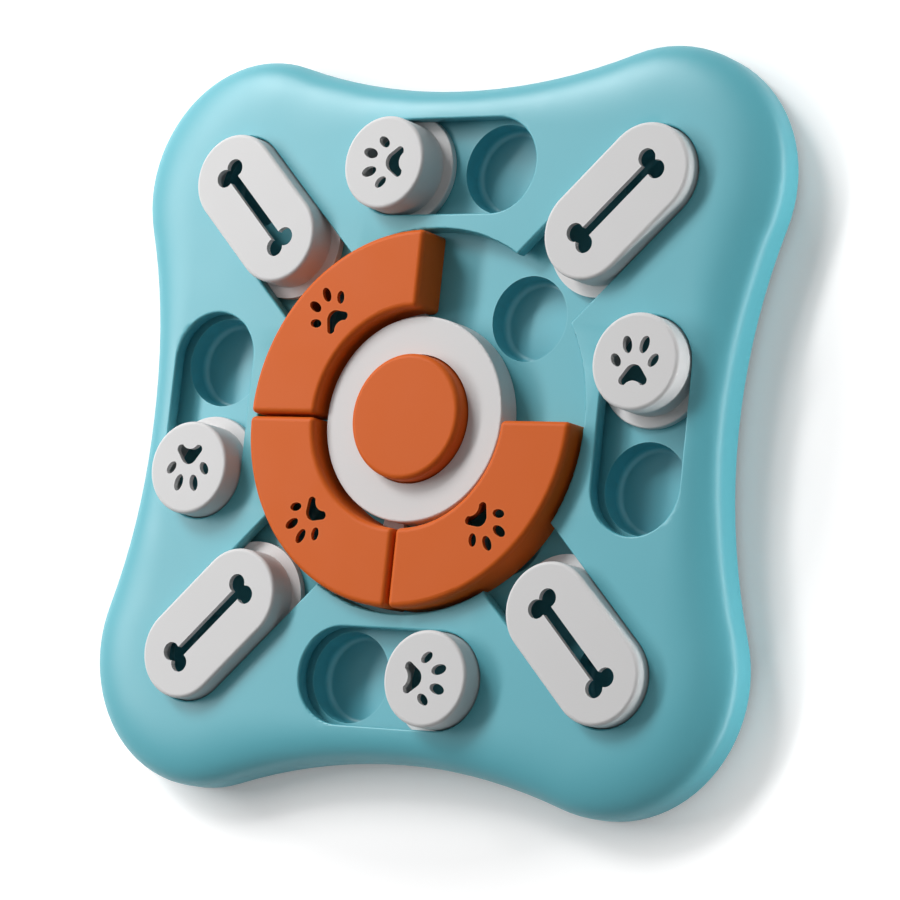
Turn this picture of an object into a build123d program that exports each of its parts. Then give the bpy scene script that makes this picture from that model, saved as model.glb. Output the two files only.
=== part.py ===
from build123d import *
from math import atan2, cos, degrees, radians, sin, sqrt
import os

# Dog puzzle feeder: a pillow-shaped tray with sliding caps over its food wells, a turntable with three
# covers over a ring of four more wells, and a squeaker button in the middle. Millimetres. +Z is up, the
# toy rests on z = 0, the middle of the tray is x = y = 0, and +Y is the back.

# ---- heights ----
foot_thickness = 1.8
well_depth = 9.4         # wells below the floor of the recess, slots and tracks
recess_depth = 8.2       # that floor below the tray's top face
skirt_lift = 0.8         # lower edge of the tray above the feet's upper face

# ---- walls ----
shell_wall = 2.6
tray_wall = 2.0
cup_wall = 1.6
slider_wall = 1.8
slider_top = 2.2
rib_thickness = 1.4
rib_depth = 4.0
socket_depth = 5.0       # case screw sockets below the floor

# ---- edge rounds ----
tray_edge_round = 10.6   # the soft edge all round the top of the tray
skirt_round = 2.0        # its lower edge
tray_floor_round = 5.0   # the lower tray's own upper edge, inside the shell
opening_round = 0.8      # lip of each opening in the top face
slider_round = 1.4
flange_round = 0.6
cover_round = 2.0
button_round = 2.0
hub_round = 0.8
well_round = 2.4         # foot of each well

# ---- clearances ----
shell_gap = 0.4          # lower tray inside the shell's skirt
seat_gap = 0.2           # shell walls above the lower tray's floor
slide_gap = 0.3          # under a sliding flange
side_gap = 0.4           # cap in its slot, and the lip above a flange
guide_gap = 0.3          # flange between its guide walls
turn_gap = 0.4           # turntable parts above the floor
bearing_clear = 0.10     # hub tube in the lower tray's collar, radial
hole_clear = 0.05        # screw in its pilot hole, radial
button_gap = 0.6         # button in the hub's bore and tube, radial

# ---- squeaker button and bellows ----
button_radius = 23.4
button_rise = 8.2
button_wall = 2.0
button_rim_width = 3.2   # the button's rim, which catches under the hub's top
button_boss_radius = 6.0
bellows_radius = 17.0    # out to the folds
bellows_base_radius = 15.0
bellows_wall = 1.2
bellows_skirt_height = 1.8  # straight foot of the bellows, and the ring that holds it
bellows_height = 12.8
bellows_folds = 2
bellows_shoulder_radius = 1.8
reed_radius = 4.0
reed_length = 6.0
reed_bridge_width = 1.2
vent_radius = 2.2

# ---- turntable and the ring of wells under it ----
hub_tube_wall = 2.2
hub_rim_width = 8.8      # white ring outside the tube
hub_rise = 2.2
hub_top_wall = 2.2
hub_cover_gap = 2.6
hub_well_gap = 1.3       # between the hub and the wells round it
inner_well_radius = 15.9
recess_edge_gap = 0.2    # between those wells and the recess wall
cover_edge_gap = 1.6
cover_rise = 7.2
cover_seam_gap = 1.2
cover_corner_radius = 2.0
cover_post_radius = 3.2
collar_wall = 2.0
collar_depth = 6.1       # the collar's lower edge below the floor
arm_width = 9.0
arm_thickness = 2.0
arm_spread = 32.0        # angle of each arm from its cover's middle
keeper_thickness = 1.8
keeper_lap_width = 4.0   # keeper plate past the tube, under the collar

# ---- paw sliders and their tracks ----
cap_radius = 17.6
flange_width = 4.1       # how far a slider's foot stands out from its wall
flange_thickness = 2.6
paw_cap_rise = 8.6       # cap top above the tray face
track_web_width = 1.5    # between the recess and each track's guide walls
flange_offset = 0.7      # resting flange past the tray's middle line
paw_well_radius = 16.9
paw_well_offset = 5.1    # that line to the nearest edge of the well

# ---- bone sliders and their slots ----
bone_cap_rise = 6.4
bone_half_length = 15.6  # from the cap's middle to the centre of each round end
bone_flange_offset = 3.2  # resting flange behind the recess edge
bone_well_radius = 15.0
bone_well_offset = 1.6   # well centre short of the centre of the slot's end

# ---- tray outline ----
side_strip_width = 0.8   # flat strip outside each track, before the soft edge starts
lobe_rim_width = 21.1    # flat rim outside each bone slot's end
lobe_offset = 1.9        # lobe centre short of the centre of the slot's end

# ---- fasteners ----
screw_radius = 1.45
screw_head_radius = 2.9
screw_head_height = 2.0
case_post_radius = 3.6
case_screw_length = 9.0
case_screw_side_offset = 24.9  # from each lobe's centre, towards the side's middle
case_screw_edge_offset = 21.1  # and towards the tray's edge
small_screw_radius = 1.25
small_head_radius = 2.6
small_head_height = 1.3
cover_screw_length = 8.0
keeper_screw_count = 3
keeper_screw_inset_width = 2.0  # screw centres inside the tube's bore
keeper_screw_length = 5.0
keeper_post_radius = 2.8
keeper_post_wall = 0.8   # closed end of each post above its screw
foot_radius = 11.0

# ---- paw cut-out, along and across from the cap's middle ----
pad_tip_distance = 4.9
pad_tip_radius = 3.8
pad_lobe_distance = 6.9
pad_lobe_spacing = 8.2
pad_lobe_radius = 1.7
pad_heel_distance = 11.2  # the round bite out of the pad's heel
pad_heel_radius = 4.2
inner_toe_distance = 5.9
inner_toe_spacing = 7.0
inner_toe_length = 6.4
inner_toe_width = 3.8
inner_toe_splay = 15
outer_toe_distance = 0.3
outer_toe_spacing = 15.2
outer_toe_length = 5.4
outer_toe_width = 3.5
outer_toe_splay = 38
cover_paw_scale = 0.92   # the covers' paws against the caps'

# ---- bone cut-out ----
bone_shaft_width = 4.2
knuckle_radius = 3.5
knuckle_length = 37.8    # between the knuckles' centres along the bone
knuckle_spacing = 5.8    # and across it

# ---- worked out from the sizes above: the middle, outwards ----
button_rim_radius = button_radius + button_rim_width
tube_inner = button_rim_radius + button_gap
hub_tube_radius = tube_inner + hub_tube_wall
hub_radius = hub_tube_radius + hub_rim_width
keeper_radius = hub_tube_radius + keeper_lap_width
keeper_screw_circle = tube_inner - keeper_screw_inset_width
inner_well_place = hub_radius + hub_well_gap + inner_well_radius
recess_radius = inner_well_place + inner_well_radius + recess_edge_gap
cover_inner = hub_radius + hub_cover_gap
cover_outer = recess_radius - cover_edge_gap
arm_reach = (cover_inner + cover_outer) / 2

# ---- sliders, slots and tracks ----
slot_half = cap_radius + side_gap
flange_half = cap_radius + flange_width
guide_half = flange_half + guide_gap
track_offset = recess_radius + track_web_width + guide_half
cap_rest = flange_half - flange_offset
paw_well_place = paw_well_radius + paw_well_offset
bone_rest = recess_radius + bone_flange_offset + flange_half + bone_half_length
bone_slot_end = bone_rest + bone_half_length
bone_well_place = bone_slot_end - bone_well_offset

# ---- tray outline and case screws ----
lobe_centre = (bone_slot_end - lobe_offset) * sqrt(0.5)
lobe_radius = slot_half + opening_round + lobe_rim_width + tray_edge_round
side_middle = track_offset + slot_half + opening_round + side_strip_width + tray_edge_round
side_step = side_middle - lobe_centre
side_radius = (lobe_centre**2 + side_step**2 - lobe_radius**2) / (2 * (lobe_radius - side_step))
case_screw_x = lobe_centre - case_screw_side_offset
case_screw_y = lobe_centre + case_screw_edge_offset

# ---- heights above the ground ----
cup_bottom = foot_thickness
cup_floor = cup_bottom + cup_wall
floor_height = cup_floor + well_depth
face_height = floor_height + recess_depth
skirt_bottom = foot_thickness + skirt_lift
plate_bottom = face_height - shell_wall
post_seat = floor_height - socket_depth
flange_bottom = floor_height + slide_gap
flange_top = flange_bottom + flange_thickness
lip_bottom = flange_top + side_gap
collar_bottom = floor_height - collar_depth
keeper_top = collar_bottom - slide_gap
keeper_bottom = keeper_top - keeper_thickness
bellows_top = keeper_top + bellows_height
hub_bottom = floor_height + turn_gap
arm_top = hub_bottom + arm_thickness
hub_top = face_height + hub_rise
hub_top_bottom = hub_top - hub_top_wall
button_rim_top = hub_top_bottom - slide_gap
button_rim_bottom = button_rim_top - button_wall
button_top = face_height + button_rise

CORNERS = {"back_right": 45, "back_left": 135, "front_left": 225, "front_right": 315}
SIDES = {"back": 0, "left": 90, "front": 180, "right": 270}

os.makedirs("parts", exist_ok=True)


def save(part, name):
    part.label = name
    export_step(part, f"parts/{name}.step")


def polar(distance, angle):
    return (distance * cos(radians(angle)), distance * sin(radians(angle)))


def turned(point, angle):
    x, y = point
    return (
        x * cos(radians(angle)) - y * sin(radians(angle)),
        x * sin(radians(angle)) + y * cos(radians(angle)),
    )


def tray_outline(inset):
    """Four lobes joined by tangent sides that bow inwards, drawn this far inside the tray's edge."""
    lobe = lobe_radius - inset
    bow = side_radius + inset
    middle = side_middle - inset
    half_angle = atan2(lobe_centre, side_middle + side_radius - lobe_centre)
    join_x = bow * sin(half_angle)
    join_y = middle + bow * (1 - cos(half_angle))
    lobe_tip = lobe_centre + lobe * sqrt(0.5)
    with BuildLine() as edge:
        for quarter in range(4):
            angle = 90 * quarter
            side = [(-join_x, -join_y), (0, -middle), (join_x, -join_y)]
            lobe_points = [(join_x, -join_y), (lobe_tip, -lobe_tip), (join_y, -join_x)]
            ThreePointArc(*[turned(p, angle) for p in side])
            ThreePointArc(*[turned(p, angle) for p in lobe_points])
    make_face(edge.edges())


def corridor(start, end, half_width):
    """A round-ended slot between two points."""
    run = (end[0] - start[0], end[1] - start[1])
    with Locations(((start[0] + end[0]) / 2, (start[1] + end[1]) / 2)):
        length = sqrt(run[0] ** 2 + run[1] ** 2)
        SlotCenterToCenter(length, 2 * half_width, rotation=degrees(atan2(run[1], run[0])))


def bone_corridors(half_width):
    for angle in CORNERS.values():
        corridor((0, 0), polar(bone_slot_end, angle), half_width)


def paw_corridors(half_width):
    for angle in SIDES.values():
        start = turned((-cap_rest, track_offset), angle)
        end = turned((paw_well_place, track_offset), angle)
        corridor(start, end, half_width)


def well_places():
    """Every well's centre and radius."""
    wells = [(polar(inner_well_place, a), inner_well_radius) for a in CORNERS.values()]
    wells += [(polar(bone_well_place, a), bone_well_radius) for a in CORNERS.values()]
    wells += [(turned((paw_well_place, track_offset), a), paw_well_radius) for a in SIDES.values()]
    return wells


def case_screw_places():
    places = []
    for x, y in ((case_screw_x, case_screw_y), (case_screw_y, case_screw_x)):
        places += [(x, y), (-x, y), (-x, -y), (x, -y)]
    return places


def paw_print(scale):
    """Pad towards the plane's +X, four toes the other way."""
    with BuildSketch(mode=Mode.PRIVATE) as paw:
        with Locations((pad_tip_distance, 0)):
            Circle(pad_tip_radius)
        with Locations((pad_lobe_distance, 0)):
            with GridLocations(0, pad_lobe_spacing, 1, 2):
                Circle(pad_lobe_radius)
        make_hull()
        with Locations((pad_heel_distance, 0)):
            Circle(pad_heel_radius, mode=Mode.SUBTRACT)
        for side in (1, -1):
            with Locations((-inner_toe_distance, side * inner_toe_spacing / 2)):
                Ellipse(inner_toe_length / 2, inner_toe_width / 2, rotation=-inner_toe_splay * side)
            with Locations((-outer_toe_distance, side * outer_toe_spacing / 2)):
                Ellipse(outer_toe_length / 2, outer_toe_width / 2, rotation=-outer_toe_splay * side)
    add(paw.sketch.scale(scale))


def bone_print():
    """A straight shaft with two round knuckles at each end, along the plane's X."""
    Rectangle(knuckle_length, bone_shaft_width)
    with GridLocations(knuckle_length, knuckle_spacing, 2, 2):
        Circle(knuckle_radius)


# ---------------------------------------------------------------- top shell
# One moulding: pillow-shaped skin, thickened guide walls under every slot, and eight screw posts.
with BuildPart() as top_shell:
    with BuildSketch(Plane.XY.offset(skirt_bottom)):
        tray_outline(0)
    extrude(amount=face_height - skirt_bottom)
    fillet(top_shell.edges().group_by(Axis.Z)[-1], tray_edge_round)
    offset(amount=-shell_wall, openings=top_shell.faces().sort_by(Axis.Z)[0])
    fillet(top_shell.faces().sort_by(Axis.Z)[0].outer_wire().edges(), skirt_round)
    # guide walls round the recess, the slots and the tracks
    with BuildSketch(Plane.XY.offset(floor_height + seat_gap)):
        Circle(recess_radius + slider_wall)
        bone_corridors(guide_half + slider_wall)
        paw_corridors(guide_half + slider_wall)
    extrude(amount=plate_bottom - floor_height - seat_gap + shell_wall / 2)
    # room under the lip for the sliders' flanges
    with BuildSketch(Plane.XY.offset(floor_height)):
        bone_corridors(guide_half)
        paw_corridors(guide_half)
    extrude(amount=lip_bottom - floor_height, mode=Mode.SUBTRACT)
    # the openings themselves
    with BuildSketch(Plane.XY.offset(floor_height)):
        Circle(recess_radius)
        bone_corridors(slot_half)
        paw_corridors(slot_half)
    extrude(amount=face_height, mode=Mode.SUBTRACT)
    face_wires = top_shell.faces().filter_by(Plane.XY).sort_by(Axis.Z)[-1].inner_wires()
    fillet(face_wires.edges(), opening_round)
    # screw posts
    with BuildSketch(Plane.XY.offset(post_seat)):
        with Locations(*case_screw_places()):
            Circle(case_post_radius)
    extrude(amount=plate_bottom - post_seat + shell_wall / 2)
    with BuildSketch(Plane.XY.offset(post_seat)):
        with Locations(*case_screw_places()):
            Circle(screw_radius + hole_clear)
    extrude(amount=case_screw_length, mode=Mode.SUBTRACT)
save(top_shell.part, "top_shell")

# ---------------------------------------------------------------- lower tray
# The floor of the toy, open underneath: wells, a bearing collar, ribs and sunk screw sockets.
socket_inner = case_post_radius + side_gap
with BuildPart() as lower_tray:
    with BuildSketch(Plane.XY.offset(skirt_bottom)):
        tray_outline(shell_wall + shell_gap)
    extrude(amount=floor_height - skirt_bottom)
    fillet(lower_tray.edges().group_by(Axis.Z)[-1], tray_floor_round)
    offset(amount=-tray_wall, openings=lower_tray.faces().sort_by(Axis.Z)[0])
    # ribs from the collar outwards, on the diagonals and on the axes
    with BuildSketch(Plane.XY.offset(floor_height - tray_wall - rib_depth)):
        for angle in CORNERS.values():
            with Locations(polar(bone_well_place / 2, angle)):
                Rectangle(bone_well_place, rib_thickness, rotation=angle)
        for angle in SIDES.values():
            with Locations(polar(side_middle / 2, angle)):
                Rectangle(side_middle - 2 * shell_wall - tray_wall, rib_thickness, rotation=angle)
    extrude(amount=rib_depth + tray_wall / 2)
    # outsides of the wells, the collar and the screw sockets
    with BuildSketch(Plane.XY.offset(floor_height - tray_wall / 2)):
        for place, radius in well_places():
            with Locations(place):
                Circle(radius + cup_wall)
    extrude(amount=cup_bottom - floor_height + tray_wall / 2)
    with BuildSketch(Plane.XY.offset(collar_bottom)):
        Circle(hub_tube_radius + bearing_clear + collar_wall)
    extrude(amount=floor_height - collar_bottom)
    with BuildSketch(Plane.XY.offset(post_seat - tray_wall)):
        with Locations(*case_screw_places()):
            Circle(socket_inner + cup_wall)
    extrude(amount=socket_depth + tray_wall)
    # bore, wells and sockets
    with BuildSketch(Plane.XY.offset(floor_height)):
        Circle(hub_tube_radius + bearing_clear)
    extrude(amount=-face_height, mode=Mode.SUBTRACT)
    for place, radius in well_places():
        with BuildSketch(Plane.XY.offset(cup_floor)):
            with Locations(place):
                Circle(radius)
        extrude(amount=face_height, mode=Mode.SUBTRACT)
    fillet(
        lower_tray.edges().filter_by(GeomType.CIRCLE).filter_by_position(Axis.Z, cup_floor, cup_floor),
        well_round,
    )
    with BuildSketch(Plane.XY.offset(post_seat)):
        with Locations(*case_screw_places()):
            Circle(socket_inner)
    extrude(amount=face_height, mode=Mode.SUBTRACT)
    with BuildSketch(Plane.XY.offset(post_seat)):
        with Locations(*case_screw_places()):
            Circle(screw_radius + hole_clear)
    extrude(amount=-face_height, mode=Mode.SUBTRACT)
save(lower_tray.part, "lower_tray")

# ---------------------------------------------------------------- case screws
with BuildPart() as case_screws:
    head_top = post_seat - tray_wall
    with BuildSketch(Plane.XY.offset(head_top - screw_head_height)):
        with Locations(*case_screw_places()):
            Circle(screw_head_radius)
    extrude(amount=screw_head_height)
    chamfer(case_screws.edges().group_by(Axis.Z)[0], screw_head_height / 3)
    with BuildSketch(Plane.XY.offset(head_top)):
        with Locations(*case_screw_places()):
            Circle(screw_radius)
    extrude(amount=case_screw_length)
save(case_screws.part, "case_screws")

# ---------------------------------------------------------------- rubber feet
for corner, angle in CORNERS.items():
    with BuildPart() as rubber_foot:
        with BuildSketch():
            with Locations(polar(bone_well_place, angle)):
                Circle(foot_radius)
        extrude(amount=foot_thickness)
        chamfer(rubber_foot.edges().group_by(Axis.Z)[0], foot_thickness / 4)
    save(rubber_foot.part, f"rubber_foot_{corner}")

# ---------------------------------------------------------------- paw sliders
# Hollow round caps, open below, with a flange that runs under the shell's lip.
for side, angle in SIDES.items():
    middle = turned((-cap_rest, track_offset), angle)
    cap_plane = Plane(origin=(*middle, 0), x_dir=(*polar(1, angle), 0), z_dir=(0, 0, 1))
    cap_top = face_height + paw_cap_rise
    with BuildPart() as paw_slider:
        with BuildSketch(cap_plane.offset(flange_bottom)):
            Circle(cap_radius)
        extrude(amount=cap_top - flange_bottom)
        fillet(paw_slider.edges().group_by(Axis.Z)[-1], slider_round)
        with BuildSketch(cap_plane.offset(flange_bottom)):
            Circle(flange_half)
        extrude(amount=flange_thickness)
        rim = paw_slider.edges().filter_by_position(Axis.Z, flange_top, flange_top)
        fillet(rim.sort_by(SortBy.LENGTH)[-1], flange_round)
        with BuildSketch(cap_plane.offset(flange_bottom)):
            Circle(cap_radius - slider_wall)
        extrude(amount=cap_top - slider_top - flange_bottom, mode=Mode.SUBTRACT)
        with BuildSketch(cap_plane.offset(cap_top - slider_top)):
            paw_print(1)
        extrude(amount=slider_top, mode=Mode.SUBTRACT)
    save(paw_slider.part, f"paw_slider_{side}")

# ---------------------------------------------------------------- bone sliders
for corner, angle in CORNERS.items():
    middle = polar(bone_rest, angle)
    cap_plane = Plane(origin=(*middle, 0), x_dir=(*polar(1, angle), 0), z_dir=(0, 0, 1))
    cap_top = face_height + bone_cap_rise
    with BuildPart() as bone_slider:
        with BuildSketch(cap_plane.offset(flange_bottom)):
            SlotCenterToCenter(2 * bone_half_length, 2 * cap_radius)
        extrude(amount=cap_top - flange_bottom)
        fillet(bone_slider.edges().group_by(Axis.Z)[-1], slider_round)
        with BuildSketch(cap_plane.offset(flange_bottom)):
            SlotCenterToCenter(2 * bone_half_length, 2 * flange_half)
        extrude(amount=flange_thickness)
        with BuildSketch(cap_plane.offset(flange_bottom)):
            SlotCenterToCenter(2 * bone_half_length, 2 * (cap_radius - slider_wall))
        extrude(amount=cap_top - slider_top - flange_bottom, mode=Mode.SUBTRACT)
        with BuildSketch(cap_plane.offset(cap_top - slider_top)):
            bone_print()
        extrude(amount=slider_top, mode=Mode.SUBTRACT)
    save(bone_slider.part, f"bone_slider_{corner}")

# ---------------------------------------------------------------- turntable hub
# White ring with a tube that turns in the lower tray's collar, and six arms that carry the covers.
COVERS = {name: angle for name, angle in CORNERS.items() if name != "back_right"}
arm_tips = [polar(arm_reach, angle + turn) for angle in COVERS.values() for turn in (-arm_spread, arm_spread)]
keeper_screw_step = 360 / keeper_screw_count
keeper_screw_places = [
    polar(keeper_screw_circle, keeper_screw_step * (screw + 0.25)) for screw in range(keeper_screw_count)
]
hub_wall_middle = hub_radius - slider_wall / 2
with BuildPart() as turntable_hub:
    with BuildSketch(Plane.XY.offset(hub_bottom)):
        Circle(hub_radius)
    extrude(amount=hub_top - hub_bottom)
    fillet(turntable_hub.edges().group_by(Axis.Z)[-1], hub_round)
    with BuildSketch(Plane.XY.offset(hub_bottom)):
        Circle(hub_radius - slider_wall)
    extrude(amount=hub_top_bottom - hub_bottom, mode=Mode.SUBTRACT)
    # tube and screw posts
    with BuildSketch(Plane.XY.offset(keeper_top)):
        Circle(hub_tube_radius)
    extrude(amount=hub_top - hub_top_wall / 2 - keeper_top)
    with BuildSketch(Plane.XY.offset(keeper_top)):
        Circle(tube_inner)
    extrude(amount=hub_top_bottom - keeper_top, mode=Mode.SUBTRACT)
    with BuildSketch(Plane.XY.offset(keeper_top)):
        with Locations(*keeper_screw_places):
            Circle(keeper_post_radius)
    extrude(amount=keeper_screw_length + keeper_post_wall)
    with BuildSketch(Plane.XY.offset(keeper_top)):
        with Locations(*keeper_screw_places):
            Circle(small_screw_radius + hole_clear)
    extrude(amount=keeper_screw_length, mode=Mode.SUBTRACT)
    # bore for the button
    with BuildSketch(Plane.XY.offset(hub_top_bottom)):
        Circle(button_radius + button_gap)
    extrude(amount=hub_top_wall, mode=Mode.SUBTRACT)
    # arms, countersunk from below
    for tip in arm_tips:
        with BuildSketch(Plane.XY.offset(hub_bottom)):
            corridor((0, 0), tip, arm_width / 2)
            Circle(hub_wall_middle, mode=Mode.SUBTRACT)
        extrude(amount=arm_thickness)
        with Locations(Plane(origin=(*tip, hub_bottom), z_dir=(0, 0, -1))):
            CounterSinkHole(
                small_screw_radius + hole_clear,
                small_head_radius + hole_clear,
                depth=arm_thickness,
                counter_sink_angle=90,
            )
save(turntable_hub.part, "turntable_hub")

# ---------------------------------------------------------------- sector covers
# Three hollow quarter rings, each on two screw posts that stand on the hub's arms.
cover_top = face_height + cover_rise
seam_apex = cover_seam_gap * sqrt(0.5)
for corner, angle in COVERS.items():
    cover_plane = Plane(origin=(0, 0, 0), x_dir=(*polar(1, angle), 0), z_dir=(0, 0, 1))
    paw_middle = (*polar(inner_well_place, angle), cover_top - slider_wall)
    paw_plane = Plane(origin=paw_middle, x_dir=(*polar(-1, angle), 0), z_dir=(0, 0, 1))
    posts = [polar(arm_reach, turn) for turn in (-arm_spread, arm_spread)]
    with BuildPart() as sector_cover:
        with BuildSketch(cover_plane.offset(hub_bottom)):
            Circle(cover_outer)
            Circle(cover_inner, mode=Mode.SUBTRACT)
            with Locations((seam_apex + cover_outer * sqrt(0.5), 0)):
                Rectangle(cover_outer, cover_outer, rotation=45, mode=Mode.INTERSECT)
        extrude(amount=cover_top - hub_bottom)
        fillet(sector_cover.edges().filter_by(Axis.Z), cover_corner_radius)
        fillet(sector_cover.edges().group_by(Axis.Z)[-1], cover_round)
        offset(amount=-slider_wall, openings=sector_cover.faces().sort_by(Axis.Z)[0])
        with BuildSketch(cover_plane.offset(arm_top)):
            with Locations(*posts):
                Circle(cover_post_radius)
        extrude(amount=cover_top - slider_wall / 2 - arm_top)
        with BuildSketch(cover_plane.offset(arm_top)):
            with Locations(*posts):
                Circle(small_screw_radius + hole_clear)
        extrude(amount=cover_screw_length, mode=Mode.SUBTRACT)
        # the inner wall is notched over the arms
        with BuildSketch(cover_plane.offset(hub_bottom)):
            for tip in posts:
                corridor((0, 0), tip, arm_width / 2 + slide_gap)
            Circle(cover_inner + cover_post_radius, mode=Mode.INTERSECT)
        extrude(amount=arm_thickness + slide_gap, mode=Mode.SUBTRACT)
        with BuildSketch(paw_plane):
            paw_print(cover_paw_scale)
        extrude(amount=slider_wall, mode=Mode.SUBTRACT)
    save(sector_cover.part, f"sector_cover_{corner}")

with BuildPart() as cover_screws:
    with BuildSketch(Plane.XY.offset(hub_bottom + small_head_radius - small_screw_radius)):
        with Locations(*arm_tips):
            Circle(small_screw_radius)
    extrude(amount=cover_screw_length)
    for tip in arm_tips:
        with Locations((*tip, hub_bottom)):
            Cone(
                small_head_radius,
                small_screw_radius,
                small_head_radius - small_screw_radius,
                align=(Align.CENTER, Align.CENTER, Align.MIN),
            )
save(cover_screws.part, "cover_screws")

# ---------------------------------------------------------------- hub keeper plate
# Screwed to the tube from below: its rim runs under the collar and its middle carries the bellows.
with BuildPart() as hub_keeper_plate:
    with BuildSketch(Plane.XY.offset(keeper_bottom)):
        Circle(keeper_radius)
    extrude(amount=keeper_thickness)
    with BuildSketch(Plane.XY.offset(keeper_top)):
        Circle(bellows_base_radius + slide_gap + bellows_wall)
        Circle(bellows_base_radius + slide_gap, mode=Mode.SUBTRACT)
    extrude(amount=bellows_skirt_height - slide_gap)
    with BuildSketch(Plane.XY.offset(keeper_bottom)):
        Circle(vent_radius)
        with Locations(*keeper_screw_places):
            Circle(small_screw_radius + hole_clear)
    extrude(amount=keeper_thickness, mode=Mode.SUBTRACT)
save(hub_keeper_plate.part, "hub_keeper_plate")

with BuildPart() as keeper_screws:
    with BuildSketch(Plane.XY.offset(keeper_bottom - small_head_height)):
        with Locations(*keeper_screw_places):
            Circle(small_head_radius)
    extrude(amount=small_head_height)
    chamfer(keeper_screws.edges().group_by(Axis.Z)[0], small_head_height / 3)
    with BuildSketch(Plane.XY.offset(keeper_bottom)):
        with Locations(*keeper_screw_places):
            Circle(small_screw_radius)
    extrude(amount=keeper_thickness + keeper_screw_length - slide_gap)
save(keeper_screws.part, "keeper_screws")

# ---------------------------------------------------------------- squeaker
# Soft bellows with two folds, open at the foot where the reed plugs in over the keeper's vent.
fold_start = keeper_top + bellows_skirt_height
fold_height = (bellows_height - bellows_skirt_height - bellows_shoulder_radius) / bellows_folds
folds = [(bellows_base_radius, fold_start)]
for fold in range(bellows_folds):
    folds.append((bellows_radius, fold_start + (fold + 0.5) * fold_height))
    folds.append((bellows_base_radius, fold_start + (fold + 1) * fold_height))
with BuildPart() as squeaker_bellows:
    with BuildSketch(Plane.XZ):
        with BuildLine():
            Polyline(
                (0, keeper_top),
                (bellows_base_radius, keeper_top),
                *folds,
                (bellows_base_radius - bellows_shoulder_radius, bellows_top),
                (0, bellows_top),
                close=True,
            )
        make_face()
        mirror(about=Plane.YZ)
        offset(amount=-bellows_wall, kind=Kind.INTERSECTION, mode=Mode.SUBTRACT)
        with Locations((0, keeper_top)):
            Rectangle(2 * (reed_radius + hole_clear), reed_length, mode=Mode.SUBTRACT)
        with Locations((bellows_radius, bellows_top / 2)):
            Rectangle(2 * bellows_radius, 2 * bellows_top, mode=Mode.INTERSECT)
    revolve(axis=Axis.Z)
save(squeaker_bellows.part, "squeaker_bellows")

with BuildPart() as squeaker_reed:
    with BuildSketch(Plane.XY.offset(keeper_top)):
        Circle(reed_radius)
        Circle(vent_radius, mode=Mode.SUBTRACT)
        Rectangle(2 * reed_radius - reed_bridge_width, reed_bridge_width)
    extrude(amount=reed_length)
    chamfer(squeaker_reed.edges().group_by(Axis.Z)[-1].sort_by(SortBy.LENGTH)[-1], reed_bridge_width / 2)
save(squeaker_reed.part, "squeaker_reed")

# ---------------------------------------------------------------- squeaker button
# A deep cap guided in the hub's tube; its rim catches under the hub's top.
with BuildPart() as squeaker_button:
    with BuildSketch(Plane.XY.offset(button_rim_bottom)):
        Circle(button_radius)
    extrude(amount=button_top - button_rim_bottom)
    fillet(squeaker_button.edges().group_by(Axis.Z)[-1], button_round)
    with BuildSketch(Plane.XY.offset(button_rim_bottom)):
        Circle(button_rim_radius)
    extrude(amount=button_wall)
    with BuildSketch(Plane.XY.offset(button_rim_bottom)):
        Circle(button_radius - button_wall)
    extrude(amount=button_top - button_rim_top, mode=Mode.SUBTRACT)
    with BuildSketch(Plane.XY.offset(bellows_top + slide_gap)):
        Circle(button_boss_radius)
    extrude(amount=button_top - button_wall / 2 - bellows_top - slide_gap)
save(squeaker_button.part, "squeaker_button")
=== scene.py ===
from math import atan2, cos, hypot, pi, radians, sin, sqrt

import bmesh
import bpy
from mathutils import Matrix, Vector
from mathutils.bvhtree import BVHTree
from mathutils.geometry import delaunay_2d_cdt


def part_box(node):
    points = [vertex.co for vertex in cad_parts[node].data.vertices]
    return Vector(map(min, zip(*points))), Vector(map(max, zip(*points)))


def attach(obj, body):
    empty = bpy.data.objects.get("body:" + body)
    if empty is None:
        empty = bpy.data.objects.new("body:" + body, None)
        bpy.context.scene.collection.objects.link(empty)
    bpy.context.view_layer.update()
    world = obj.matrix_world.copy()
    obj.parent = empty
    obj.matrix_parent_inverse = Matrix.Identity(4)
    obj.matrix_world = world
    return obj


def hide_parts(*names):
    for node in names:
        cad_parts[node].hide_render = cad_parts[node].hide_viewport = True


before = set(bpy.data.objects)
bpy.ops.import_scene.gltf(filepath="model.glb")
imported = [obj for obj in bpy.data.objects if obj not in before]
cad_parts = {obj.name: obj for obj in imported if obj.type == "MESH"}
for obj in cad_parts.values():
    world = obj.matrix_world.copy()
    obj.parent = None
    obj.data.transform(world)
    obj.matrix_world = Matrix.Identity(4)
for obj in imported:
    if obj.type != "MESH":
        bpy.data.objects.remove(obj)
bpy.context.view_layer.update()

# ---- Tray mouldings ------------------------------------------------------------------------------
# Two injection mouldings in the same teal plastic: the pillow-shaped top shell with its slots and
# tracks, and the lower tray with the wells. Their skin has the fine grain of a spark-eroded mould,
# paler at the edges, partly from rubbing and partly as a painted highlight, and faint clouds from
# the way the plastic flowed.
TEAL = (0.082, 0.383, 0.453, 1)
# The paler edge colour: partly rubbing wear, partly a painted highlight.
TEAL_WORN_EDGE_HIGHLIGHT = (0.140, 0.465, 0.535, 1)
CLOUD_SCALE = 28
CLOUD_DETAIL = 3
SMEAR_SCALE = 60
SMEAR_DETAIL = 1.5
FAINTEST_SMEAR = 0.2
STRONGEST_SMEAR = 0.8
GRAIN_DETAIL = 2
GRAIN_STRENGTH = 0.35
# How far the paler edge colour reaches in and how pale it gets: partly wear, partly a painted
# highlight.
WORN_HIGHLIGHT_WIDTH = 0.0007
EDGE_RAYS = 8
FLAT_OPENNESS = 0.95  # share of short rays into the plastic that meet no other skin
EDGE_OPENNESS = 0.45
MOST_WORN_HIGHLIGHT = 0.75


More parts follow.
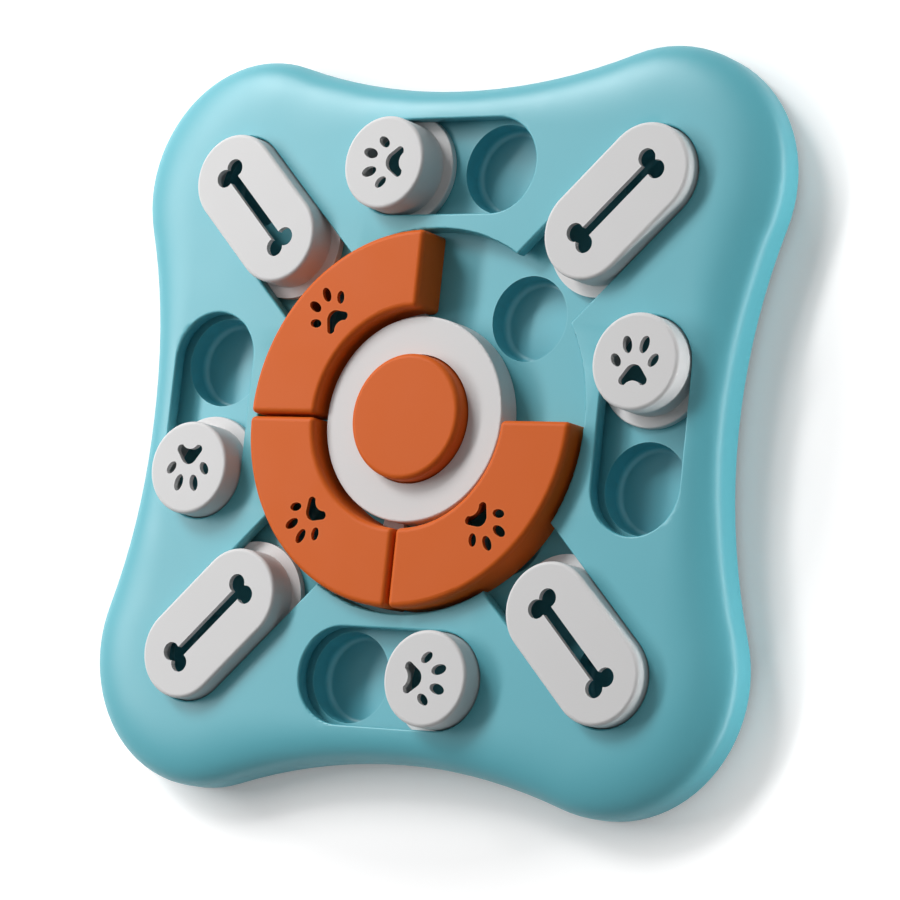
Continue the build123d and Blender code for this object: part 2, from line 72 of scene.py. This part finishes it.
def feed(tree, node, values):
    """Gives a node's inputs plain values, or the outputs of other nodes."""
    for name, value in values.items():
        if isinstance(value, bpy.types.NodeSocket):
            tree.links.new(node.inputs[name], value)
        else:
            node.inputs[name].default_value = value


def fed_node(tree, kind, values):
    """Adds a node with these inputs."""
    node = tree.nodes.new(kind)
    feed(tree, node, values)
    return node


def maths(tree, operation, *values):
    """Adds a Math node and returns its result."""
    node = tree.nodes.new("ShaderNodeMath")
    node.operation = operation
    feed(tree, node, dict(enumerate(values)))
    return node.outputs[0]


def moulded_skin():
    """Node group for moulded plastic: flow clouds, worn edges with a painted highlight, smears, the
    mould's grain.
    """
    group = bpy.data.node_groups.new("moulded skin", "ShaderNodeTree")
    for name, direction, kind in (
        ("Plastic", "INPUT", "NodeSocketColor"),
        ("Edge Wear And Highlight", "INPUT", "NodeSocketColor"),
        ("Edge Width", "INPUT", "NodeSocketFloat"),
        ("Clouds", "INPUT", "NodeSocketFloat"),
        ("Grain Scale", "INPUT", "NodeSocketFloat"),
        ("Smoothest", "INPUT", "NodeSocketFloat"),
        ("Roughest", "INPUT", "NodeSocketFloat"),
        ("Color", "OUTPUT", "NodeSocketColor"),
        ("Roughness", "OUTPUT", "NodeSocketFloat"),
        ("Grain", "OUTPUT", "NodeSocketFloat"),
    ):
        group.interface.new_socket(name, in_out=direction, socket_type=kind)
    given = group.nodes.new("NodeGroupInput").outputs
    place = group.nodes.new("ShaderNodeTexCoord").outputs["Object"]

    cloud_values = {"Vector": place, "Scale": CLOUD_SCALE, "Detail": CLOUD_DETAIL}
    clouds = fed_node(group, "ShaderNodeTexNoise", cloud_values)
    centred = maths(group, "SUBTRACT", clouds.outputs["Fac"], 0.5)
    strength = maths(group, "MULTIPLY_ADD", centred, given["Clouds"], 1)
    clouded_values = {"Value": strength, "Color": given["Plastic"]}
    clouded = fed_node(group, "ShaderNodeHueSaturation", clouded_values)

    # Convex edges get the paler colour: partly rubbing wear, partly a painted highlight.
    near_edge = fed_node(group, "ShaderNodeAmbientOcclusion", {"Distance": given["Edge Width"]})
    near_edge.inside = True
    near_edge.samples = EDGE_RAYS
    wear_and_highlight_values = {
        "Value": near_edge.outputs["AO"],
        "From Min": FLAT_OPENNESS,
        "From Max": EDGE_OPENNESS,
        "To Max": MOST_WORN_HIGHLIGHT,
    }
    wear_and_highlight = fed_node(group, "ShaderNodeMapRange", wear_and_highlight_values)
    edge_wear_and_highlight = group.nodes.new("ShaderNodeMix")
    edge_wear_and_highlight.data_type = "RGBA"
    edge_wear_and_highlight_values = {
        "Factor": wear_and_highlight.outputs["Result"],
        "A": clouded.outputs["Color"],
        "B": given["Edge Wear And Highlight"],
    }
    feed(group, edge_wear_and_highlight, edge_wear_and_highlight_values)

    smear_values = {"Vector": place, "Scale": SMEAR_SCALE, "Detail": SMEAR_DETAIL}
    smears = fed_node(group, "ShaderNodeTexNoise", smear_values)
    gloss_values = {
        "Value": smears.outputs["Fac"],
        "From Min": FAINTEST_SMEAR,
        "From Max": STRONGEST_SMEAR,
        "To Min": given["Smoothest"],
        "To Max": given["Roughest"],
    }
    gloss = fed_node(group, "ShaderNodeMapRange", gloss_values)

    grain_values = {"Vector": place, "Scale": given["Grain Scale"], "Detail": GRAIN_DETAIL}
    grain = fed_node(group, "ShaderNodeTexNoise", grain_values)
    skin_values = {
        "Color": edge_wear_and_highlight.outputs["Result"],
        "Roughness": gloss.outputs["Result"],
        "Grain": grain.outputs["Fac"],
    }
    fed_node(group, "NodeGroupOutput", skin_values)
    return group


MOULDED_SKIN = moulded_skin()


def moulded_plastic(
    name, plastic, edge_wear_and_highlight, gloss, grain_scale, grain_depth, clouds=0.05, shine=0.2
):
    """A plastic in one colour under the moulded skin; gloss is its lowest and highest roughness."""
    material = bpy.data.materials.new(name)
    material.use_nodes = True
    tree = material.node_tree
    skin = tree.nodes.new("ShaderNodeGroup")
    skin.node_tree = MOULDED_SKIN
    skin_values = {
        "Plastic": plastic,
        "Edge Wear And Highlight": edge_wear_and_highlight,
        "Edge Width": WORN_HIGHLIGHT_WIDTH,
        "Clouds": clouds,
        "Grain Scale": grain_scale,
        "Smoothest": gloss[0],
        "Roughest": gloss[1],
    }
    feed(tree, skin, skin_values)
    bump_values = {
        "Height": skin.outputs["Grain"],
        "Strength": GRAIN_STRENGTH,
        "Distance": grain_depth,
    }
    bump = fed_node(tree, "ShaderNodeBump", bump_values)
    shader_values = {
        "Base Color": skin.outputs["Color"],
        "Roughness": skin.outputs["Roughness"],
        "Specular IOR Level": shine,
        "Normal": bump.outputs["Normal"],
    }
    feed(tree, tree.nodes["Principled BSDF"], shader_values)
    return material


def dress(material, *nodes):
    """Gives CAD nodes their finish."""
    for name in nodes:
        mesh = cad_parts[name].data
        mesh.materials.clear()
        mesh.materials.append(material)


teal_plastic = moulded_plastic(
    "teal plastic",
    TEAL,
    TEAL_WORN_EDGE_HIGHLIGHT,
    gloss=(0.40, 0.44),
    grain_scale=2600,
    grain_depth=0.00004,
    shine=0.6,
)
dress(teal_plastic, "lower_tray")

CREASE = radians(35)  # a sharper bend than this stays crisp


def finished(name, shape, material, body, replaced):
    """Turns a bmesh into a piece that rides on a body in place of a CAD node."""
    bmesh.ops.recalc_face_normals(shape, faces=shape.faces)
    mesh = bpy.data.meshes.new(name)
    shape.to_mesh(mesh)
    shape.free()
    mesh.shade_smooth()
    mesh.set_sharp_from_angle(angle=CREASE)
    mesh.materials.append(material)
    piece = bpy.data.objects.new(name, mesh)
    bpy.context.scene.collection.objects.link(piece)
    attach(piece, body)
    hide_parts(replaced)
    return piece


# The shell's outline is four round lobes joined by sides that bow inwards. Its edge is upright and
# runs over into the flat face in one long soft curve, longest at the lobes.
LOBE_CENTRE = 0.088883  # from the tray's middle, both along and across
LOBE_RADIUS = 0.0505
SIDE_MIDDLE = 0.1252
SIDE_BOW = 0.2351  # radius of a side's arc
SIDE_CENTRE = SIDE_MIDDLE + SIDE_BOW
JOIN = atan2(LOBE_CENTRE, SIDE_CENTRE - LOBE_CENTRE)  # half the angle of a side's arc
LOBE_TURN = pi / 2 + 2 * JOIN
FACE_HEIGHT = 0.0210
EDGE_ROUND = 0.0106
LIP_ROUND = 0.0008
SIDE_SOFTNESS = 0.014  # how far inside the outline the curve reaches the flat face
LOBE_SOFTNESS = 0.028
FULLNESS = 2.5
RING_STEP = 0.0016
RIM_GAP = 0.4 * RING_STEP
TOUCHING = 0.000002
MILLIMETRES = 1000
WITHIN_LOOPS = 1  # triangles are made inside the rim's loops only


def inset(x, y):
    """How far a point lies inside the tray's outline."""
    across, along = sorted((abs(x), abs(y)))
    if across * (SIDE_CENTRE - LOBE_CENTRE) < LOBE_CENTRE * (SIDE_CENTRE - along):
        return hypot(SIDE_CENTRE - along, across) - SIDE_BOW
    return LOBE_RADIUS - hypot(along - LOBE_CENTRE, across - LOBE_CENTRE)


def plain_drop(x, y):
    """How far the shell's plain round edge lies below the flat face."""
    beyond = max(0, EDGE_ROUND - inset(x, y))
    return EDGE_ROUND - sqrt(max(0, EDGE_ROUND**2 - beyond**2))


def soft_drop(x, y):
    """How far the soft skin lies below the flat face; its curve is longest at the four lobes."""
    lobe_share = (1 - cos(4 * atan2(y, x))) / 2
    softness = SIDE_SOFTNESS + (LOBE_SOFTNESS - SIDE_SOFTNESS) * lobe_share
    left = min(1, max(0, 1 - inset(x, y) / softness))
    return EDGE_ROUND * (1 - (1 - left**FULLNESS) ** (1 / FULLNESS))


def ring_points(depth, shift):
    """Points along the outline, this far inside it and moved on by a share of a step."""
    side = SIDE_BOW + depth
    side_steps = round(2 * JOIN * side / RING_STEP)
    lobe = LOBE_RADIUS - depth
    lobe_steps = round(LOBE_TURN * lobe / RING_STEP)
    points = []
    for quarter in range(4):
        facing = Vector((cos(quarter * pi / 2), sin(quarter * pi / 2)))
        left = Vector((-facing.y, facing.x))
        for step in range(side_steps):
            turn = JOIN * (2 * (step + shift) / side_steps - 1)
            points.append(facing * (SIDE_CENTRE - side * cos(turn)) + left * side * sin(turn))
        for step in range(lobe_steps):
            turn = LOBE_TURN * (step + shift) / lobe_steps - JOIN
            along, across = LOBE_CENTRE + lobe * cos(turn), LOBE_CENTRE + lobe * sin(turn)
            points.append(facing * along + left * across)
    return points


def dense_face(shape):
    """Cuts the flat face into rings of small triangles along the edge, so that it can bend."""
    shape.verts.index_update()
    lowest_flat = FACE_HEIGHT - TOUCHING
    flat = [face for face in shape.faces if min(v.co.z for v in face.verts) > lowest_flat]
    flat_corners = [[v.index for v in face.verts] for face in flat]
    face_tree = BVHTree.FromPolygons([v.co for v in shape.verts], flat_corners)

    def on_face(x, y):
        return face_tree.find_nearest((x, y, FACE_HEIGHT))[3] < TOUCHING

    for face in flat:
        face.tag = True
    rim = [edge for edge in shape.edges if sum(face.tag for face in edge.link_faces) == 1]
    rim_corners = sorted({v for edge in rim for v in edge.verts}, key=lambda v: v.index)
    order = {v.index: n for n, v in enumerate(rim_corners)}
    rim_pairs = [[order[v.index] for v in edge.verts] for edge in rim]
    bmesh.ops.delete(shape, geom=flat, context="FACES")

    spots = [Vector((v.co.x, v.co.y)) for v in rim_corners]
    around = ((RIM_GAP, 0), (-RIM_GAP, 0), (0, RIM_GAP), (0, -RIM_GAP))
    for ring in range(1, round((LOBE_SOFTNESS - EDGE_ROUND) / RING_STEP)):
        shift = 0.5 * (ring % 2)
        for x, y in ring_points(EDGE_ROUND + ring * RING_STEP, shift):
            if all(on_face(x + u, y + v) for u, v in around):
                spots.append(Vector((x, y)))

    # The triangulation is accurate only for numbers about as large as millimetres.
    points, _, triangles, sources, _, _ = delaunay_2d_cdt(
        [MILLIMETRES * spot for spot in spots], rim_pairs, [], WITHIN_LOOPS, MILLIMETRES * TOUCHING
    )
    corners = []
    for point, source in zip(points, sources):
        on_rim = source and source[0] < len(rim_corners)
        at = (point.x / MILLIMETRES, point.y / MILLIMETRES, FACE_HEIGHT)
        corners.append(rim_corners[source[0]] if on_rim else shape.verts.new(at))
    for triangle in triangles:
        middle = sum((points[n] for n in triangle), Vector((0, 0))) / len(triangle)
        if on_face(middle.x / MILLIMETRES, middle.y / MILLIMETRES):
            shape.faces.new([corners[n] for n in triangle])


shell = bmesh.new()
shell.from_mesh(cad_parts["top_shell"].data)
bmesh.ops.remove_doubles(shell, verts=shell.verts, dist=TOUCHING)
dense_face(shell)
for v in shell.verts:
    old_drop = plain_drop(v.co.x, v.co.y)
    skin_foot = FACE_HEIGHT - min(EDGE_ROUND, old_drop + LIP_ROUND + TOUCHING)
    if v.co.z > skin_foot:
        v.co.z = min(v.co.z + old_drop, FACE_HEIGHT) - soft_drop(v.co.x, v.co.y)
pillow_shell = finished("pillow_shell", shell, teal_plastic, "tray", "top_shell")
even_shading = pillow_shell.modifiers.new("even shading", "WEIGHTED_NORMAL")
even_shading.keep_sharp = True

# ---- Sliding caps --------------------------------------------------------------------------------
# Four round caps with a paw cut through them and four long ones with a bone, all in white plastic
# with a slightly coarser grain than the tray, so that a wet nose or paw doesn't slip.
WHITE = (0.65, 0.645, 0.645, 1)
# The paler edge colour is partly wear, partly a painted highlight.
WHITE_WORN_EDGE_HIGHLIGHT = (0.745, 0.74, 0.735, 1)
CORNERS = ("back_right", "back_left", "front_left", "front_right")
SIDES = ("back", "left", "front", "right")

white_plastic = moulded_plastic(
    "white plastic",
    WHITE,
    WHITE_WORN_EDGE_HIGHLIGHT,
    gloss=(0.5, 0.6),
    grain_scale=1500,
    grain_depth=0.00006,
    clouds=0.03,
)
dress(white_plastic, *[f"bone_slider_{corner}" for corner in CORNERS])
dress(white_plastic, *[f"paw_slider_{side}" for side in SIDES])

# ---- Turntable -----------------------------------------------------------------------------------
# A white hub that turns in the lower tray's collar and carries three orange quarter covers; the
# quarter at the back right stays open. A keeper plate is screwed on from below. The orange is a
# finer-grained plastic with a low sheen.
ORANGE = (0.60, 0.105, 0.006, 1)
# The paler edge colour is partly wear, partly a painted highlight.
ORANGE_WORN_EDGE_HIGHLIGHT = (0.690, 0.170, 0.030, 1)
OPEN_QUARTER = "back_right"

orange_plastic = moulded_plastic(
    "orange plastic",
    ORANGE,
    ORANGE_WORN_EDGE_HIGHLIGHT,
    gloss=(0.5, 0.58),
    grain_scale=3000,
    grain_depth=0.00003,
    clouds=0.04,
)
dress(white_plastic, "turntable_hub", "hub_keeper_plate")
dress(orange_plastic, *[f"sector_cover_{corner}" for corner in CORNERS if corner != OPEN_QUARTER])

# ---- Squeaker ------------------------------------------------------------------------------------
# An orange button that pushes down a folded bellows, blow-moulded in soft, slightly yellow vinyl.
# The polished white reed is a press fit in the bellows' foot and whistles as the air goes through.
VINYL = (0.55, 0.53, 0.47, 1)
# Each paler edge colour below is partly wear, partly a painted highlight.
VINYL_WORN_EDGE_HIGHLIGHT = (0.65, 0.63, 0.58, 1)
REED = (0.72, 0.72, 0.70, 1)
REED_WORN_EDGE_HIGHLIGHT = (0.8, 0.8, 0.8, 1)

bellows_vinyl = moulded_plastic(
    "bellows vinyl",
    VINYL,
    VINYL_WORN_EDGE_HIGHLIGHT,
    gloss=(0.3, 0.42),
    grain_scale=900,
    grain_depth=0.00003,
    shine=0.5,
)
reed_plastic = moulded_plastic(
    "reed plastic",
    REED,
    REED_WORN_EDGE_HIGHLIGHT,
    gloss=(0.2, 0.3),
    grain_scale=3000,
    grain_depth=0.00001,
    shine=0.5,
)
dress(orange_plastic, "squeaker_button")
dress(bellows_vinyl, "squeaker_bellows")
dress(reed_plastic, "squeaker_reed")

# ---- Feet ----------------------------------------------------------------------------------------
# Four rubber discs glued under the corner wells. Each has a rounded rim and two grooves round its
# middle, which let it grip a smooth floor.
RUBBER = (0.045, 0.150, 0.175, 1)
# The paler edge colour is partly wear, partly a painted highlight.
RUBBER_WORN_EDGE_HIGHLIGHT = (0.09, 0.22, 0.25, 1)
FOOT_RADIUS = 0.011
FOOT_THICKNESS = 0.0018
FOOT_ROUND = ((0.0106, 0.00016), (FOOT_RADIUS, 0.0006))
FOOT_STEPS = 48
GROOVE_DEPTH = 0.0005
GROOVE_SLANT = 0.0004
INNER_TREAD = (0.0026, 0.0046)
OUTER_TREAD = (0.0068, 0.0100)

foot_rubber = moulded_plastic(
    "foot rubber",
    RUBBER,
    RUBBER_WORN_EDGE_HIGHLIGHT,
    gloss=(0.7, 0.85),
    grain_scale=2000,
    grain_depth=0.00006,
)


def turned_rings(shape, x, y, profile, steps):
    """Adds a lathe-turned skin: each radius and height is a ring, joined to the next."""
    turns = [2 * pi * step / steps for step in range(steps)]
    rings = []
    for radius, height in profile:
        around = [(x + radius * cos(turn), y + radius * sin(turn)) for turn in turns]
        rings.append([shape.verts.new((*at, height)) for at in around])
    for lower, upper in zip(rings, rings[1:]):
        for step in range(steps):
            after = (step + 1) % steps
            shape.faces.new((lower[step], lower[after], upper[after], upper[step]))
    return rings


foot_profile = [
    (INNER_TREAD[0] - GROOVE_SLANT, GROOVE_DEPTH),
    (INNER_TREAD[0], 0),
    (INNER_TREAD[1], 0),
    (INNER_TREAD[1] + GROOVE_SLANT, GROOVE_DEPTH),
    (OUTER_TREAD[0] - GROOVE_SLANT, GROOVE_DEPTH),
    (OUTER_TREAD[0], 0),
    (OUTER_TREAD[1], 0),
    *FOOT_ROUND,
    (FOOT_RADIUS, FOOT_THICKNESS),
]
for corner in CORNERS:
    plain_foot = f"rubber_foot_{corner}"
    low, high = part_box(plain_foot)
    foot = bmesh.new()
    rings = turned_rings(
        foot, (low[0] + high[0]) / 2, (low[1] + high[1]) / 2, foot_profile, FOOT_STEPS
    )
    foot.faces.new(rings[0])
    foot.faces.new(rings[-1])
    finished(f"ringed_foot_{corner}", foot, foot_rubber, "tray", plain_foot)

# ---- Screws --------------------------------------------------------------------------------------
# Zinc-plated steel screws with a cross recess: eight hold the case together from below and three
# hold the keeper plate, all with a pan head, and six countersunk ones hold the covers.
ZINC = (0.42, 0.42, 0.41, 1)
# The paler edge colour is partly wear, partly a painted highlight.
ZINC_WORN_EDGE_HIGHLIGHT = (0.6, 0.6, 0.6, 1)
PAN_HEAD = ((0.78, 0), (0.93, 0.12), (1, 0.40), (1, 1))  # shares of the head's radius and height
SCREW_STEPS = 24
CROSS_ARM = 0.52  # shares of the head's radius
CROSS_WAIST = 0.13
CROSS_FLOOR = 0.6  # share of its mouth that the floor of the recess keeps
CROSS_DEPTH = 0.6  # share of the head's height

zinc = moulded_plastic(
    "zinc plate",
    ZINC,
    ZINC_WORN_EDGE_HIGHLIGHT,
    gloss=(0.25, 0.45),
    grain_scale=4000,
    grain_depth=0.00001,
    shine=0.5,
)
zinc.node_tree.nodes["Principled BSDF"].inputs["Metallic"].default_value = 1
dress(zinc, "cover_screws")


def looped(corners):
    """Each corner with the one after it, and the last with the first."""
    return zip(corners, corners[1:] + corners[:1])


def cross_screw(shape, x, y, head_radius, head_height, shank_radius, lowest, highest):
    """Adds a pan-head screw that stands on its head, with a tapered cross recess in it."""
    profile = [(head_radius * out, lowest + head_height * up) for out, up in PAN_HEAD]
    profile += [(shank_radius, lowest + head_height), (shank_radius, highest)]
    rings = turned_rings(shape, x, y, profile, SCREW_STEPS)
    shape.faces.new(rings[-1])

    arm, waist = CROSS_ARM * head_radius, CROSS_WAIST * head_radius
    outline = []
    for quarter in range(4):
        facing = cos(quarter * pi / 2), sin(quarter * pi / 2)
        for along, across in ((arm, -waist), (arm, waist), (waist, waist)):
            u = along * facing[0] - across * facing[1]
            v = along * facing[1] + across * facing[0]
            outline.append((u, v))
    deep = lowest + CROSS_DEPTH * head_height
    mouth = [shape.verts.new((x + u, y + v, lowest)) for u, v in outline]
    floor = [shape.verts.new((x + CROSS_FLOOR * u, y + CROSS_FLOOR * v, deep)) for u, v in outline]
    face_edges = [shape.edges.get(pair) for pair in looped(rings[0])]
    face_edges += [shape.edges.new(pair) for pair in looped(mouth)]
    bmesh.ops.triangle_fill(shape, use_beauty=True, edges=face_edges)
    for (outer, next_outer), (inner, next_inner) in zip(looped(mouth), looped(floor)):
        shape.faces.new((outer, next_outer, next_inner, inner))
    shape.faces.new(floor)


CASE_HEAD_RADIUS = 0.0029
CASE_HEAD_HEIGHT = 0.002
CASE_SHANK_RADIUS = 0.00145
CASE_SCREW_ALONG = 0.06398  # along each side, from its middle

case_heads = bmesh.new()
low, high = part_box("case_screws")
out = high[0] - CASE_HEAD_RADIUS
for x, y in ((CASE_SCREW_ALONG, out), (out, CASE_SCREW_ALONG)):
    for u, v in ((x, y), (-x, y), (-x, -y), (x, -y)):
        cross_screw(
            case_heads,
            u,
            v,
            CASE_HEAD_RADIUS,
            CASE_HEAD_HEIGHT,
            CASE_SHANK_RADIUS,
            lowest=low[2],
            highest=high[2],
        )
finished("case_cross_screws", case_heads, zinc, "tray", "case_screws")

KEEPER_HEAD_RADIUS = 0.0026
KEEPER_HEAD_HEIGHT = 0.0013
KEEPER_SHANK_RADIUS = 0.00125
KEEPER_TURNS = (30, 150, 270)  # degrees round the plate

keeper_heads = bmesh.new()
low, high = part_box("keeper_screws")
out = -low[1] - KEEPER_HEAD_RADIUS
for turn in KEEPER_TURNS:
    cross_screw(
        keeper_heads,
        out * cos(radians(turn)),
        out * sin(radians(turn)),
        KEEPER_HEAD_RADIUS,
        KEEPER_HEAD_HEIGHT,
        KEEPER_SHANK_RADIUS,
        lowest=low[2],
        highest=high[2],
    )
finished("keeper_cross_screws", keeper_heads, zinc, "turntable", "keeper_screws")

# ---- Floor, light and camera ---------------------------------------------------------------------
# The toy lies on a plain white sweep. A big soft lamp shines from its back left, a long strip gives
# the left side its sheen, a low one lights the right edge, and the sky is darker at the front. The
# camera sees sweep and sky as white; round the toy the sweep glows less and keeps its shadow.
FLOOR_HALF = 4.0
FLOOR_PAINT = (0.90, 0.90, 0.90, 1)
FLOOR_ROUGHNESS = 0.9
PURE_WHITE = (1, 1, 1, 1)
NEAR_GLOW = 0.18
NEAR_RADIUS = 0.16
FAR_RADIUS = 0.27
SKY_FRONT = 0.10
SKY_BACK = 0.36


def seen_directly(tree):
    """1 for rays from the camera, a mirror or a lens, 0 for light that falls on the toy."""
    path = tree.nodes.new("ShaderNodeLightPath").outputs
    by_camera_or_lens = maths(tree, "MAXIMUM", path["Is Camera Ray"], path["Is Transmission Ray"])
    return maths(tree, "MAXIMUM", by_camera_or_lens, path["Is Glossy Ray"])


floor_mesh = bpy.data.meshes.new("floor")
floor_signs = ((-1, -1), (1, -1), (1, 1), (-1, 1))
floor_corners = [(FLOOR_HALF * x, FLOOR_HALF * y, 0) for x, y in floor_signs]
floor_mesh.from_pydata(floor_corners, [], [(0, 1, 2, 3)])
floor = bpy.data.objects.new("floor", floor_mesh)
bpy.context.scene.collection.objects.link(floor)

floor_paint = bpy.data.materials.new("floor paint")
floor_paint.use_nodes = True
paint = floor_paint.node_tree
place = paint.nodes.new("ShaderNodeTexCoord").outputs["Object"]
reach = fed_node(paint, "ShaderNodeVectorMath", {0: place})
reach.operation = "LENGTH"
glow_values = {
    "Value": reach.outputs["Value"],
    "From Min": NEAR_RADIUS,
    "From Max": FAR_RADIUS,
    "To Min": NEAR_GLOW,
}
glow = fed_node(paint, "ShaderNodeMapRange", glow_values)
paint_values = {
    "Base Color": FLOOR_PAINT,
    "Roughness": FLOOR_ROUGHNESS,
    "Specular IOR Level": 0,
    "Emission Color": PURE_WHITE,
    "Emission Strength": maths(paint, "MULTIPLY", glow.outputs["Result"], seen_directly(paint)),
}
feed(paint, paint.nodes["Principled BSDF"], paint_values)
floor_mesh.materials.append(floor_paint)

world = bpy.data.worlds.new("sky")
world.use_nodes = True
sky = world.node_tree
direction = sky.nodes.new("ShaderNodeTexCoord").outputs["Generated"]
heading = fed_node(sky, "ShaderNodeSeparateXYZ", {0: direction})
shade_values = {
    "Value": heading.outputs["Y"],
    "From Min": -1,
    "To Min": SKY_FRONT,
    "To Max": SKY_BACK,
}
shade = fed_node(sky, "ShaderNodeMapRange", shade_values)
sky_values = {
    "Color": PURE_WHITE,
    "Strength": maths(sky, "MAXIMUM", shade.outputs["Result"], seen_directly(sky)),
}
feed(sky, sky.nodes["Background"], sky_values)
bpy.context.scene.world = world


def soft_lamp(name, place, aim, width, depth, power):
    """A rectangular area lamp turned towards a point."""
    light = bpy.data.lights.new(name, "AREA")
    light.shape = "RECTANGLE"
    light.size = width
    light.size_y = depth
    light.energy = power
    lamp = bpy.data.objects.new(name, light)
    lamp.location = place
    lamp.rotation_euler = (Vector(aim) - Vector(place)).to_track_quat("-Z", "Y").to_euler()
    bpy.context.scene.collection.objects.link(lamp)


soft_lamp(
    "back left lamp",
    place=(-1.05, 1.18, 1.20),
    aim=(0, 0, 0),
    width=0.6,
    depth=0.6,
    power=24,
)
soft_lamp(
    "left strip",
    place=(-0.90, 0.20, 0.78),
    aim=(0, 0, 0),
    width=0.8,
    depth=0.14,
    power=8,
)
soft_lamp(
    "low right strip",
    place=(0.222, 0, 0.003),
    aim=(0, 0, 0.003),
    width=0.36,
    depth=0.006,
    power=0.18,
)

CAMERA_PLACE = (0.78273, -0.18517, 1.18314)
CAMERA_TURN = (10.998, 32.458, 7.096)  # degrees
LENS = 154.58
FILM_WIDTH = 36

camera_data = bpy.data.cameras.new("camera")
camera_data.lens = LENS
camera_data.sensor_width = FILM_WIDTH
camera = bpy.data.objects.new("camera", camera_data)
camera.location = CAMERA_PLACE
camera.rotation_euler = [radians(turn) for turn in CAMERA_TURN]
bpy.context.scene.collection.objects.link(camera)
bpy.context.scene.camera = camera
bpy.context.scene.view_settings.view_transform = "Standard"
